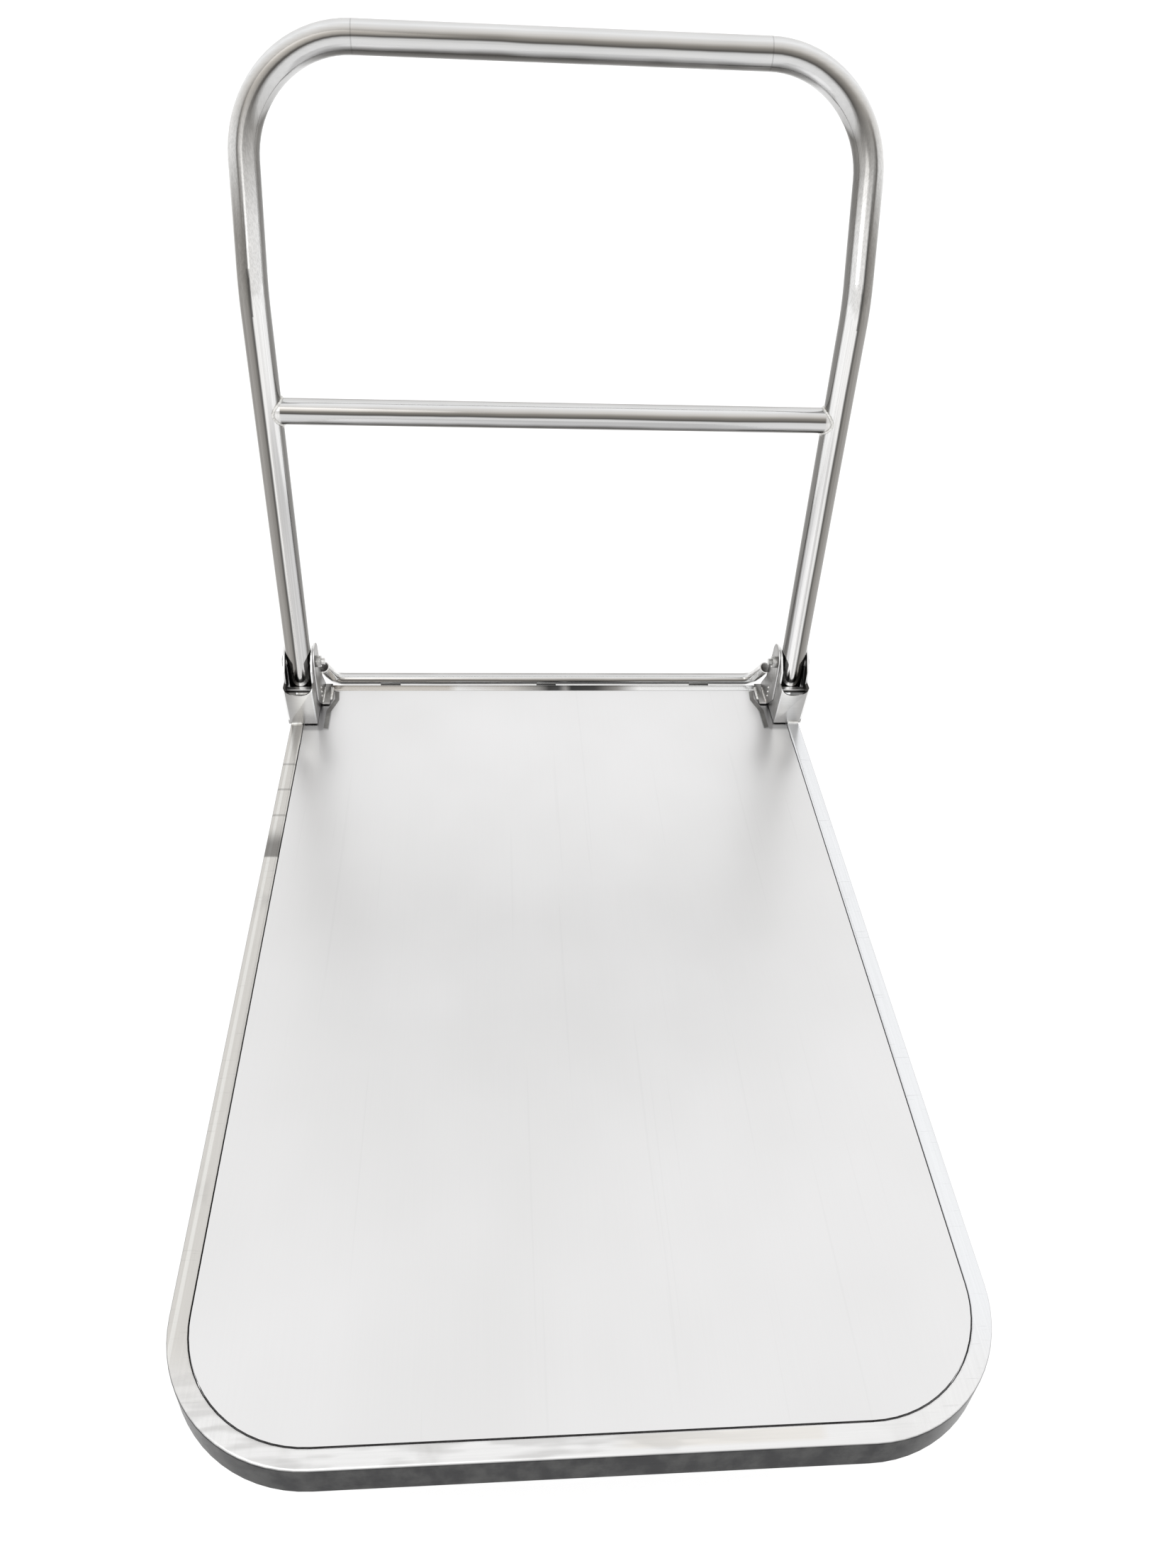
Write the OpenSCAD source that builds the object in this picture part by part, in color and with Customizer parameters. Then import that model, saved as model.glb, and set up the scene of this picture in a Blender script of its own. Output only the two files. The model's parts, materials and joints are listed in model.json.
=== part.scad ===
// Folding platform cart: a flat steel deck in a bent tube frame, a push handle that folds down
// over the deck on two bolts, two rigid casters at the front and two swivel casters at the handle.
//
// Axes: +X to the right, +Y from the front edge towards the handle, +Z up. The origin is on the
// floor, under the middle of the whole cart. Most modules work in the "deck frame" instead, which
// has y = 0 at the front edge of the frame and z = 0 at the top of its rails.

/* [Platform] */
// Width over the side rails
platform_w = 600; // [560:10:700]
// Length from the front rail to the rear rail
platform_l = 900; // [880:10:1000]
// Depth of the rails
frame_h = 34; // [30:1:40]
// Width of the bent frame tube
rail_w = 15; // [14:1:18]
// Width of the straight rear rail
rear_rail_w = 12; // [11:1:16]
// Outer radius of the two front corners
corner_r = 110; // [80:5:110]
// Wall of the frame tubes
rail_wall = 1.5; // [1:0.1:2.5]
// Edge radius of the frame tubes
rail_edge_r = 2.5; // [2:0.1:3.5]

/* [Deck] */
// Thickness of the deck sheet
sheet_t = 1.5; // [1:0.1:2]
// Depth of the sheet below the top of the rails
sheet_drop = 0.6; // [0.2:0.1:1.5]
// Gap between the sheet and the rails
sheet_gap = 0.6; // [0.3:0.1:1.5]
// Depth of the sheet's turned-down edge
sheet_lip = 8; // [6:1:9]
// Spacing of the three ribs under the sheet
rib_pitch = 170; // [140:5:200]

/* [Handle] */
// Outer diameter of the handle tube
handle_d = 28; // [25:0.5:30]
// Wall of the handle tube
handle_wall = 1.5; // [1:0.1:2]
// Distance from the middle of the cart to each leg's axis
leg_x = 285.5; // [280:0.5:290]
// Distance from the rear edge of the frame to the legs' axes
hinge_setback = 58; // [50:1:70]
// Height of the pivot bolts above the rails
pivot_h = 72; // [66:1:80]
// Height of the legs' lower ends above the rails
leg_end_h = 41; // [38:0.5:44]
// Height of the knee where the legs lean back
knee_h = 482; // [440:1:520]
// Backward lean of the handle above the knee, in degrees
lean = 18.2; // [16:0.1:21]
// Centre-line radius of the knee
knee_r = 120; // [80:5:150]
// Length along the lean from the knee to the top bar
rise = 208.5; // [180:0.5:260]
// Centre-line radius of the top corners
top_r = 100; // [90:1:130]
// Outer diameter of the crossbar
crossbar_d = 25.4; // [20:0.1:27]
// Height of the crossbar above the rails
crossbar_h = 367; // [300:1:420]

/* [Hinge] */
// Thickness of the bracket's sheet
bracket_t = 2; // [1.5:0.1:2.5]
// Gap between a leg and each side wall of its bracket
pocket_gap = 0.3; // [0.3:0.05:0.6]
// Diameter of the pivot bolts
bolt_d = 8; // [7:0.5:9]
// Radial clearance between a bolt and its sleeve
bolt_fit = 0.05; // [0.02:0.01:0.1]
// Outer diameter of the bar behind the rear rail
bar_d = 14; // [12:0.5:16]

/* [Casters] */
// Height from the floor to the top of the caster plate
caster_h = 160; // [155:1:175]
// Diameter of the wheels
wheel_d = 125; // [110:1:125]
// Width of the tyres
tyre_w = 32; // [28:1:32]
// Distance from the middle of the cart to each caster
caster_x = 220; // [200:1:232]
// Distance from the front edge to the rigid casters
front_caster_y = 170; // [168:1:200]
// Distance from the front edge to the swivel casters' stems
rear_caster_y = 755; // [700:1:770]
// Trail of the swivel casters
trail = 38; // [34:1:42]

/* [Hidden] */
$fn = 64;
over = 1; // how far a cutting shape runs past the face it cuts
lap = 0.05; // how far the walls of a tube that laps a bend stand out past the bend's, on each side
lap_l = 0.5; // length of that lap

function to_micron(x) = round(1000 * x) / 1000;

// Handle: the knee bend starts at knee_start, and lean_straight lies between it and the top corners.
leg_y = platform_l - hinge_setback;
knee_start = to_micron(knee_h - knee_r * tan(lean / 2));
lean_straight = to_micron(rise - knee_r * tan(lean / 2) - top_r);
top_y = leg_y + rise * sin(lean);

// Frame placing: the cart runs from y = 0 to the back of the top bar.
mid_y = to_micron((top_y + handle_d / 2) / 2);
deck_z = caster_h + frame_h;

// Deck: underside of the sheet, lower edge of its lip, and the cut-out at each rear corner.
sheet_under = -sheet_drop - sheet_t;
lip_z = sheet_under - sheet_lip;
notch_x = platform_w / 2 - 37.5;
notch_y = platform_l - 92;
plug_l = 8;
rib_w = 40;
rib_t = 1.2;
rib_front = 45;
rib_back = 45;

// Bracket walls, from the middle of the cart outwards.
wall_in = leg_x - handle_d / 2 - pocket_gap - bracket_t;
wall_out = leg_x + handle_d / 2 + pocket_gap;
foot_front = 22;   // front wall's foot, ahead of the leg's axis
rim_front = 34;    // front wall's rim, ahead of the leg's axis
rim_h = 53;        // corners of the rim above the rails
rim_dip = 7;       // how far the rim's middle lies below its corners
rim_cut_r = 18;
wall_back = 34;    // side walls' foot, behind the leg's axis
wall_top_y = 4;    // centre of the side walls' round top, behind the leg's axis
wall_top_r = 16;
ear_t = 2;
ear_top_y = 8;
ear_top_r = 17;
ear_foot_w = 8.5;
ear_foot_from = 16.5;
ear_foot_to = 57;
stop_depth = 7;
stop_t = 4;
stop_h = 43;

// Rear bar: its axis, and where its turned-up ends finish.
bar_y = platform_l + 10;
bar_z = 1.5;
bar_wall = 1.2;
bar_bend_r = 14;
bar_corner_x = 256;
stub_dir = [10, -25, 34];
stub_len = 43;

// Fasteners.
sleeve_d = 12;
nut_af = 13;
nut_h = 6.5;
bolt_tail = 4;
head_d = 14;
head_h = 2;
weld_r = 1.8;

// Casters, measured down from the top of the caster plate.
plate_l = 105;
plate_w = 80;
plate_t = 4;
plate_r = 8;
bolt_y = 80;       // spacing of the plate's bolts along Y
bolt_x = 60;       // spacing of the plate's bolts along X
caster_hole_d = 9;
channel_w = 115;
channel_t = 2.5;
axle_z = wheel_d / 2 - caster_h;
axle_d = 10;
fork_t = 3;
fork_in = 19;      // inner face of each fork leg
fork_r = 14;       // round end of each fork leg
crown_l = 56;
race_r = 28;
race_h = 5;
lower_race_r = 24;
race_gap = 0.3;
lower_race_h = 3.7;
kingpin_d = 10;
rim_r = 50;
bearing_d = 26;
bearing_w = 8;
hub_r = 17;
hub_half = fork_in - 0.3;

// ---------------------------------------------------------------- helpers

module from_deck() translate([0, -mid_y, deck_z]) children();
module both_sides() for (s = [0, 1]) mirror([s, 0, 0]) children();

// Rectangle with rounded corners, centred.
module rounded_rect(w, h, r) {
  square([w - 2 * r, h], center = true);
  square([w, h - 2 * r], center = true);
  for (x = [-1, 1], y = [-1, 1]) translate([x * (w / 2 - r), y * (h / 2 - r)]) circle(r, $fn = 24);
}

// Section of a rectangular tube.
module box_section(w, h) difference() {
  rounded_rect(w, h, rail_edge_r);
  rounded_rect(w - 2 * rail_wall, h - 2 * rail_wall, rail_edge_r - rail_wall + 0.2);
}

// Section of a round tube.
module pipe_section(d, wall) difference() {
  circle(d = d);
  circle(d = d - 2 * wall);
}

// Bar along Y from y0 to y1, with the section given in X and Z.
module along_y(y0, y1) translate([0, y1, 0]) rotate([90, 0, 0]) linear_extrude(y1 - y0) children();

// Plate across X from x0 to x1, with its outline given in Y and Z.
module along_x(x0, x1) translate([x0, 0, 0]) rotate([90, 0, 90]) linear_extrude(x1 - x0) children();

module rod_x(x0, x1, d) translate([x0, 0, 0]) rotate([0, 90, 0]) cylinder(h = x1 - x0, d = d);
module hex_z(z0, z1, af) translate([0, 0, z0]) cylinder(h = z1 - z0, d = af / cos(30), $fn = 6);
module hex_x(x0, x1, af) rotate([0, 90, 0]) hex_z(x0, x1, af);

// ---------------------------------------------------------------- frame

// Outline inside the frame, inset from its outer edge and running on past the rear edge.
module plan(inset, back) {
  w = platform_w - 2 * inset;
  r = corner_r - inset;
  translate([-w / 2, inset + r]) square([w, back - inset - r]);
  translate([r - w / 2, inset]) square([w - 2 * r, r + over]);
  for (s = [-1, 1]) translate([s * (w / 2 - r), inset + r]) circle(r);
}

module perimeter_tube() color("gainsboro") from_deck() translate([0, 0, -frame_h / 2]) {
  rail_c = rail_w / 2;
  both_sides() {
    translate([platform_w / 2 - rail_c, 0, 0]) along_y(corner_r, platform_l) box_section(rail_w, frame_h);
    translate([platform_w / 2 - corner_r, corner_r, 0]) rotate([0, 0, -90]) rotate_extrude(angle = 90)
      translate([corner_r - rail_c, 0]) box_section(rail_w, frame_h);
  }
  translate([0, rail_c, 0]) along_x(corner_r - platform_w / 2, platform_w / 2 - corner_r)
    box_section(rail_w, frame_h);
}

module rear_rail() color("gainsboro") from_deck()
  translate([0, platform_l - rear_rail_w / 2, -frame_h / 2])
    along_x(rail_w - platform_w / 2, platform_w / 2 - rail_w) box_section(rear_rail_w, frame_h);

module rail_end_plugs() color("dimgray") from_deck() both_sides()
  translate([platform_w / 2 - rail_w / 2, 0, -frame_h / 2]) along_y(platform_l - plug_l, platform_l)
    square([rail_w - 2 * rail_wall - 2, frame_h - 2 * rail_wall - 2], center = true);

// ---------------------------------------------------------------- deck

// The cut-out that leaves room for one hinge bracket, grown by g.
module notch(g) polygon([
  [platform_w / 2, notch_y - 24 - g], [notch_x - g + 22, notch_y - 24 - g], [notch_x - g, notch_y - g],
  [notch_x - g, notch_y + 38], [notch_x - 8 - g, notch_y + 62], [notch_x - 6 - g, platform_l + over],
  [platform_w / 2, platform_l + over]
]);

// Outline of the sheet, inset by g all round.
module sheet_plan(g) difference() {
  plan(rail_w + sheet_gap + g, platform_l - rear_rail_w - sheet_gap - g);
  both_sides() notch(g);
}

module deck_sheet() color("whitesmoke") from_deck() difference() {
  translate([0, 0, lip_z]) linear_extrude(sheet_t + sheet_lip) sheet_plan(0);
  translate([0, 0, lip_z - over]) linear_extrude(sheet_lip + over) sheet_plan(sheet_t);
}

module deck_ribs() color("silver") from_deck() for (x = [-rib_pitch, 0, rib_pitch])
  translate([x, 0, (sheet_under + lip_z) / 2]) along_y(rib_front, platform_l - rib_back) difference() {
    square([rib_w, sheet_lip], center = true);
    translate([0, rib_t]) square([rib_w - 2 * rib_t, sheet_lip], center = true);
  }

// Open channel across the frame with one row of caster bolts at each end.
module cross_channel(y) color("silver") from_deck() translate([0, y, 0]) difference() {
  along_x(rail_w - platform_w / 2, platform_w / 2 - rail_w) difference() {
    translate([-channel_w / 2, -frame_h]) square([channel_w, frame_h + lip_z]);
    translate([-channel_w / 2 + channel_t, channel_t - frame_h]) square([channel_w - 2 * channel_t, frame_h]);
  }
  both_sides() for (x = [-1, 1], dy = [-1, 1])
    translate([caster_x + x * bolt_x / 2, dy * bolt_y / 2, -frame_h - over])
      cylinder(h = channel_t + 2 * over, d = caster_hole_d);
}
module front_channel() cross_channel(front_caster_y);
module rear_channel() cross_channel(rear_caster_y);

// ---------------------------------------------------------------- hinge

// Everything in this section is drawn for the right side, from the pivot's leg axis.
module at_leg() from_deck() translate([0, leg_y, 0]) children();
module pivot_hole() translate([0, 0, pivot_h])
  rod_x(wall_in - ear_t - over, wall_out + bracket_t + over, bolt_d);

module side_wall_outline() {
  polygon([
    [-foot_front, 0], [-rim_front, rim_h], [wall_top_y - 10.3, pivot_h + 12.3],
    [wall_top_y + wall_top_r, pivot_h], [wall_back, 0]
  ]);
  translate([wall_top_y, pivot_h]) circle(wall_top_r);
}

module bracket() color("silver") at_leg() difference() {
  union() {
    along_x(wall_in, wall_in + bracket_t) side_wall_outline();
    along_x(wall_out, wall_out + bracket_t) side_wall_outline();
    along_x(wall_in, wall_out + bracket_t) polygon([
      [-foot_front, 0], [-foot_front + bracket_t, 0], [-rim_front + bracket_t, rim_h], [-rim_front, rim_h]
    ]);
    along_x(wall_in, wall_out + bracket_t) translate([-foot_front, 0])
      square([foot_front + wall_back, bracket_t]);
  }
  translate([leg_x, -rim_front + 15, rim_h - rim_dip + rim_cut_r]) rotate([90, 0, 0])
    cylinder(h = 30, r = rim_cut_r);
  pivot_hole();
}
module left_bracket() mirror([1, 0, 0]) bracket();
module right_bracket() bracket();

module ear_plate() color("silver") at_leg() {
  difference() {
    along_x(wall_in - ear_t, wall_in) {
      polygon([
        [ear_foot_from, 0], [-6, 22], [ear_top_y - ear_top_r, 60], [ear_top_y - ear_top_r, pivot_h],
        [ear_top_y + ear_top_r, pivot_h], [wall_back + 3, 28], [ear_foot_to, 4], [ear_foot_to, 0]
      ]);
      translate([ear_top_y, pivot_h]) circle(ear_top_r);
    }
    pivot_hole();
  }
  translate([wall_in - ear_t - ear_foot_w, ear_foot_from, 0])
    cube([ear_foot_w, ear_foot_to - ear_foot_from, ear_t]);
}
module left_ear_plate() mirror([1, 0, 0]) ear_plate();
module right_ear_plate() ear_plate();

// The flat bar that the leg's lower end rests against when the handle stands up.
module stop_bars() color("gainsboro") at_leg() both_sides()
  translate([wall_in + bracket_t, -handle_d / 2 - pocket_gap - stop_depth, stop_h])
    cube([wall_out - wall_in - bracket_t, stop_depth, stop_t]);

module pivot_bolts() color("silver") at_leg() both_sides() translate([0, 0, pivot_h]) {
  rod_x(wall_in - ear_t - nut_h - bolt_tail, wall_out + bracket_t, bolt_d);
  rod_x(wall_out + bracket_t, wall_out + bracket_t + head_h, head_d);
}

module pivot_nuts() color("silver") at_leg() both_sides() translate([0, 0, pivot_h]) difference() {
  x1 = wall_in - ear_t;
  hex_x(x1 - nut_h, x1, nut_af);
  rod_x(x1 - nut_h - over, x1 + over, bolt_d);
}

// ---------------------------------------------------------------- rear bar

// Half of the bar: a straight run from the middle, a bend, and an open end that points up and forward.
module half_bar() {
  unit = stub_dir / norm(stub_dir);
  turn = acos(unit[0]);                       // angle between +X and the open end
  roll = atan2(unit[2], unit[1]);             // plane of the bend about the X axis
  start_x = bar_corner_x - bar_bend_r * tan(turn / 2);
  rotate([roll, 0, 0]) {
    rotate([0, 90, 0]) linear_extrude(start_x) pipe_section(bar_d, bar_wall);
    translate([start_x, bar_bend_r, 0]) rotate([0, 0, -90]) rotate_extrude(angle = turn)
      translate([bar_bend_r, 0]) pipe_section(bar_d, bar_wall);
    translate([start_x + bar_bend_r * sin(turn), bar_bend_r * (1 - cos(turn)), 0])
      rotate([0, 90, turn]) translate([0, 0, -lap_l])
        linear_extrude(stub_len - bar_bend_r * tan(turn / 2) + lap_l)
          pipe_section(bar_d + 2 * lap, bar_wall + 2 * lap);
  }
}

module rear_bar() color("gainsboro") from_deck() translate([0, bar_y, bar_z]) both_sides() half_bar();

// Short flats that hold the bar off the rear rail.
module bar_tabs() color("silver") from_deck() for (x = [-190, 0, 190])
  translate([x - 12, platform_l, -8]) difference() {
    cube([24, bar_y - platform_l, 6]);
    translate([-over, bar_y - platform_l, bar_z + 8]) rod_x(0, 24 + 2 * over, bar_d);
  }

// Weld beads where the brackets and ear plates stand on the frame.
module frame_welds() color("silver") at_leg() both_sides() {
  translate([0, -foot_front, 0.4]) rod_x(platform_w / 2 - rail_w + 1, wall_out + bracket_t, 2 * weld_r);
  translate([wall_in - ear_t - ear_foot_w, ear_foot_from + 8, 0.4]) rotate([-90, 0, 0])
    cylinder(h = ear_foot_to - ear_foot_from - 14, r = weld_r);
}

// ---------------------------------------------------------------- handle

// Frame of the handle above the knee, turned about the knee's centre.
module leaned() translate([0, leg_y + knee_r, knee_start]) rotate([-lean, 0, 0])
  translate([0, -knee_r, 0]) children();

// Half of the handle, on the right: leg, knee, leaned leg, top corner and half of the top bar.
module handle_section() pipe_section(handle_d, handle_wall);
module half_handle() {
  translate([leg_x, leg_y, leg_end_h]) linear_extrude(knee_start - leg_end_h) handle_section();
  translate([leg_x, leg_y + knee_r, knee_start]) rotate([90, 0, -90]) rotate_extrude(angle = lean)
    translate([knee_r, 0]) handle_section();
  leaned() {
    translate([leg_x, 0, -lap_l]) linear_extrude(lean_straight + lap_l)
      pipe_section(handle_d + 2 * lap, handle_wall + 2 * lap);
    translate([leg_x - top_r, 0, lean_straight]) rotate([90, 0, 0]) rotate_extrude(angle = 90)
      translate([top_r, 0]) handle_section();
    translate([0, 0, lean_straight + top_r]) rotate([0, 90, 0]) linear_extrude(leg_x - top_r)
      handle_section();
  }
}

module handle_tube() color("lightgray") from_deck() difference() {
  both_sides() half_handle();
  both_sides() translate([0, leg_y, pivot_h]) rod_x(leg_x - handle_d, leg_x + handle_d, sleeve_d);
}

// The space inside one leg, round the crossbar's joint; s is -1 on the left and 1 on the right.
module leg_core(s) translate([s * leg_x, leg_y, crossbar_h - handle_d])
  cylinder(h = 2 * handle_d, d = handle_d);

module crossbar() color("lightgray") from_deck() difference() {
  translate([-leg_x, leg_y, crossbar_h]) rotate([0, 90, 0]) linear_extrude(2 * leg_x)
    pipe_section(crossbar_d, handle_wall);
  leg_core(-1);
  leg_core(1);
}

// Fillet of weld round each end of the crossbar.
module crossbar_welds() color("silver") from_deck() for (s = [-1, 1]) difference() {
  translate([s * (leg_x - 11), leg_y, crossbar_h]) rotate([0, 90, 0])
    linear_extrude(9, center = true) pipe_section(crossbar_d + 2 * weld_r, weld_r);
  leg_core(s);
}

module leg_end_caps() color("silver") at_leg() both_sides() translate([leg_x, 0, leg_end_h]) {
  translate([0, 0, -3]) cylinder(h = 3, d1 = handle_d - 8, d2 = handle_d - 1);
  cylinder(h = 6, d = handle_d - 2 * handle_wall - 0.2);
}

module pivot_sleeves() color("gray") at_leg() both_sides() translate([0, 0, pivot_h]) difference() {
  rod_x(leg_x - handle_d / 2, leg_x + handle_d / 2, sleeve_d);
  rod_x(leg_x - handle_d, leg_x + handle_d, bolt_d + 2 * bolt_fit);
}

// ---------------------------------------------------------------- casters

// Places a caster part, whose own frame has its origin at the middle of the plate's top face.
// The casters on the left are mirror images of those on the right.
module front_right() translate([caster_x, front_caster_y - mid_y, caster_h]) children();
module rear_right() translate([caster_x, rear_caster_y - mid_y, caster_h]) children();
module front_left() mirror([1, 0, 0]) front_right() children();
module rear_left() mirror([1, 0, 0]) rear_right() children();
module every_caster() {
  front_left() children();
  front_right() children();
  rear_left() children();
  rear_right() children();
}
module plate_bolts() for (x = [-1, 1], y = [-1, 1]) translate([x * bolt_x / 2, y * bolt_y / 2, 0]) children();
module at_axle(back) translate([0, back, axle_z]) children();

module caster_plate() color("silver") difference() {
  translate([0, 0, -plate_t]) linear_extrude(plate_t) rounded_rect(plate_w, plate_l, plate_r);
  plate_bolts() translate([0, 0, -plate_t - over]) cylinder(h = plate_t + 2 * over, d = caster_hole_d);
}

module caster_bolts() color("silver") every_caster() plate_bolts() {
  hex_z(channel_t, channel_t + 5.3, nut_af);
  translate([0, 0, -plate_t - nut_h - 2]) cylinder(h = plate_t + nut_h + 2 + channel_t, d = bolt_d);
}

module caster_nuts() color("silver") every_caster() plate_bolts() difference() {
  hex_z(-plate_t - nut_h, -plate_t, nut_af);
  translate([0, 0, -plate_t - nut_h - over]) cylinder(h = nut_h + 2 * over, d = bolt_d);
}

// Both legs and the crown of a fork, hung from z = top, with its axle set back by the trail.
module fork(top, back, crown_hole) color("silver") difference() {
  union() {
    both_sides() along_x(fork_in, fork_in + fork_t) {
      polygon([
        [-crown_l / 2, top], [crown_l / 2, top], [crown_l / 2, top - 14],
        [back + fork_r, axle_z], [back - fork_r, axle_z], [-crown_l / 2, top - 14]
      ]);
      translate([back, axle_z]) circle(fork_r);
    }
    translate([-fork_in - over, -crown_l / 2, top - fork_t]) cube([2 * (fork_in + over), crown_l, fork_t]);
  }
  at_axle(back) rod_x(-fork_in - fork_t - over, fork_in + fork_t + over, axle_d);
  translate([0, 0, top - fork_t - over]) cylinder(h = fork_t + 2 * over, d = crown_hole);
}

lower_race_top = -plate_t - race_h - race_gap;
swivel_top = lower_race_top - lower_race_h;
module rigid_fork() fork(-plate_t, 0, kingpin_d);
module swivel_fork() fork(swivel_top, trail, kingpin_d + 2 * bolt_fit);

module upper_race() color("darkgray") difference() {
  translate([0, 0, -plate_t - race_h]) cylinder(h = race_h, r = race_r);
  translate([0, 0, -plate_t - race_h - over]) cylinder(h = race_h + 2 * over, d = kingpin_d);
}

module lower_race() color("darkgray") difference() {
  translate([0, 0, swivel_top]) cylinder(h = lower_race_h, r = lower_race_r);
  translate([0, 0, swivel_top - over]) cylinder(h = lower_race_h + 2 * over, d = kingpin_d + 2 * bolt_fit);
}

// Pin and nut that carry the swivel fork; they are fixed to the plate.
module kingpin() color("gray") {
  nut_top = swivel_top - fork_t - race_gap;
  translate([0, 0, nut_top - 10]) cylinder(h = -plate_t - nut_top + 10, d = kingpin_d);
  translate([0, 0, nut_top - 1.5]) cylinder(h = 1.5, d = 20);
  hex_z(nut_top - 8, nut_top - 1.5, 17);
}

module axle_bolt(back) color("silver") at_axle(back) {
  hex_x(-fork_in - fork_t - 6.4, -fork_in - fork_t, 16);
  rod_x(-fork_in - fork_t - over, fork_in + fork_t + 10, axle_d);
}

module axle_nut(back) color("silver") at_axle(back) difference() {
  hex_x(fork_in + fork_t, fork_in + fork_t + 8, 16);
  rod_x(fork_in, fork_in + fork_t + 10, axle_d);
}

module wheel_core(back) color("dimgray") at_axle(back) rotate([0, 90, 0]) difference() {
  union() {
    cylinder(h = 2 * hub_half, r = hub_r, center = true);
    cylinder(h = 6, r = rim_r - 4, center = true);
    difference() {
      cylinder(h = tyre_w - 4, r = rim_r, center = true);
      cylinder(h = tyre_w, r = rim_r - 5, center = true);
    }
    for (k = [0:5]) rotate([0, 0, 60 * k]) translate([hub_r - 2, -1.5, -tyre_w / 2 + 5])
      cube([rim_r - hub_r, 3, tyre_w - 10]);
  }
  cylinder(h = 2 * hub_half + 2, d = 20, center = true);
  for (s = [-1, 1]) translate([0, 0, s * (hub_half - bearing_w / 2)])
    cylinder(h = bearing_w, d = bearing_d, center = true);
}

module tyre(back) color("dimgray") at_axle(back) rotate([0, 90, 0]) rotate_extrude($fn = 128) {
  shoulder = 6;
  tread = wheel_d / 2;
  translate([rim_r, -tyre_w / 2]) square([tread - shoulder - rim_r, tyre_w]);
  translate([rim_r, shoulder - tyre_w / 2]) square([tread - rim_r, tyre_w - 2 * shoulder]);
  for (s = [-1, 1]) translate([tread - shoulder, s * (tyre_w / 2 - shoulder)]) circle(shoulder, $fn = 32);
}

module bearings(back) color("silver") at_axle(back) rotate([0, 90, 0])
  for (s = [-1, 1]) translate([0, 0, s * (hub_half - bearing_w / 2)]) difference() {
    cylinder(h = bearing_w, d = bearing_d, center = true);
    cylinder(h = bearing_w + over, d = axle_d + 2 * bolt_fit, center = true);
  }

// ---------------------------------------------------------------- nodes

perimeter_tube();
rear_rail();
rail_end_plugs();
deck_sheet();
deck_ribs();
front_channel();
rear_channel();
left_bracket();
right_bracket();
left_ear_plate();
right_ear_plate();
stop_bars();
rear_bar();
bar_tabs();
pivot_bolts();
pivot_nuts();
frame_welds();
handle_tube();
crossbar();
crossbar_welds();
leg_end_caps();
pivot_sleeves();
caster_bolts();
caster_nuts();
front_left() caster_plate();  // front_left_plate
front_left() rigid_fork();  // front_left_fork
front_left() axle_bolt(0);  // front_left_axle_bolt
front_left() axle_nut(0);  // front_left_axle_nut
front_left() wheel_core(0);  // front_left_wheel_core
front_left() tyre(0);  // front_left_tyre
front_left() bearings(0);  // front_left_bearings
front_right() caster_plate();  // front_right_plate
front_right() rigid_fork();  // front_right_fork
front_right() axle_bolt(0);  // front_right_axle_bolt
front_right() axle_nut(0);  // front_right_axle_nut
front_right() wheel_core(0);  // front_right_wheel_core
front_right() tyre(0);  // front_right_tyre
front_right() bearings(0);  // front_right_bearings
rear_left() caster_plate();  // rear_left_plate
rear_left() upper_race();  // rear_left_upper_race
rear_left() kingpin();  // rear_left_kingpin
rear_left() lower_race();  // rear_left_lower_race
rear_left() swivel_fork();  // rear_left_fork
rear_left() axle_bolt(trail);  // rear_left_axle_bolt
rear_left() axle_nut(trail);  // rear_left_axle_nut
rear_left() wheel_core(trail);  // rear_left_wheel_core
rear_left() tyre(trail);  // rear_left_tyre
rear_left() bearings(trail);  // rear_left_bearings
rear_right() caster_plate();  // rear_right_plate
rear_right() upper_race();  // rear_right_upper_race
rear_right() kingpin();  // rear_right_kingpin
rear_right() lower_race();  // rear_right_lower_race
rear_right() swivel_fork();  // rear_right_fork
rear_right() axle_bolt(trail);  // rear_right_axle_bolt
rear_right() axle_nut(trail);  // rear_right_axle_nut
rear_right() wheel_core(trail);  // rear_right_wheel_core
rear_right() tyre(trail);  // rear_right_tyre
rear_right() bearings(trail);  // rear_right_bearings
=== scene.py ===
# %% [markdown]
# # A folding platform cart in stainless steel
# The steel parts come from the CAD model and stay where they are. This script gives every one of them
# a finish, and adds the small things that a welder, a press or a mould leaves behind: rippled beads,
# rounded sheet edges, sloped edges round the deck's cut-outs and grooves in the tyres.

# %% Load the fixed frame
import json
import math

import bmesh
import bpy
from mathutils import Matrix, Vector

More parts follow.
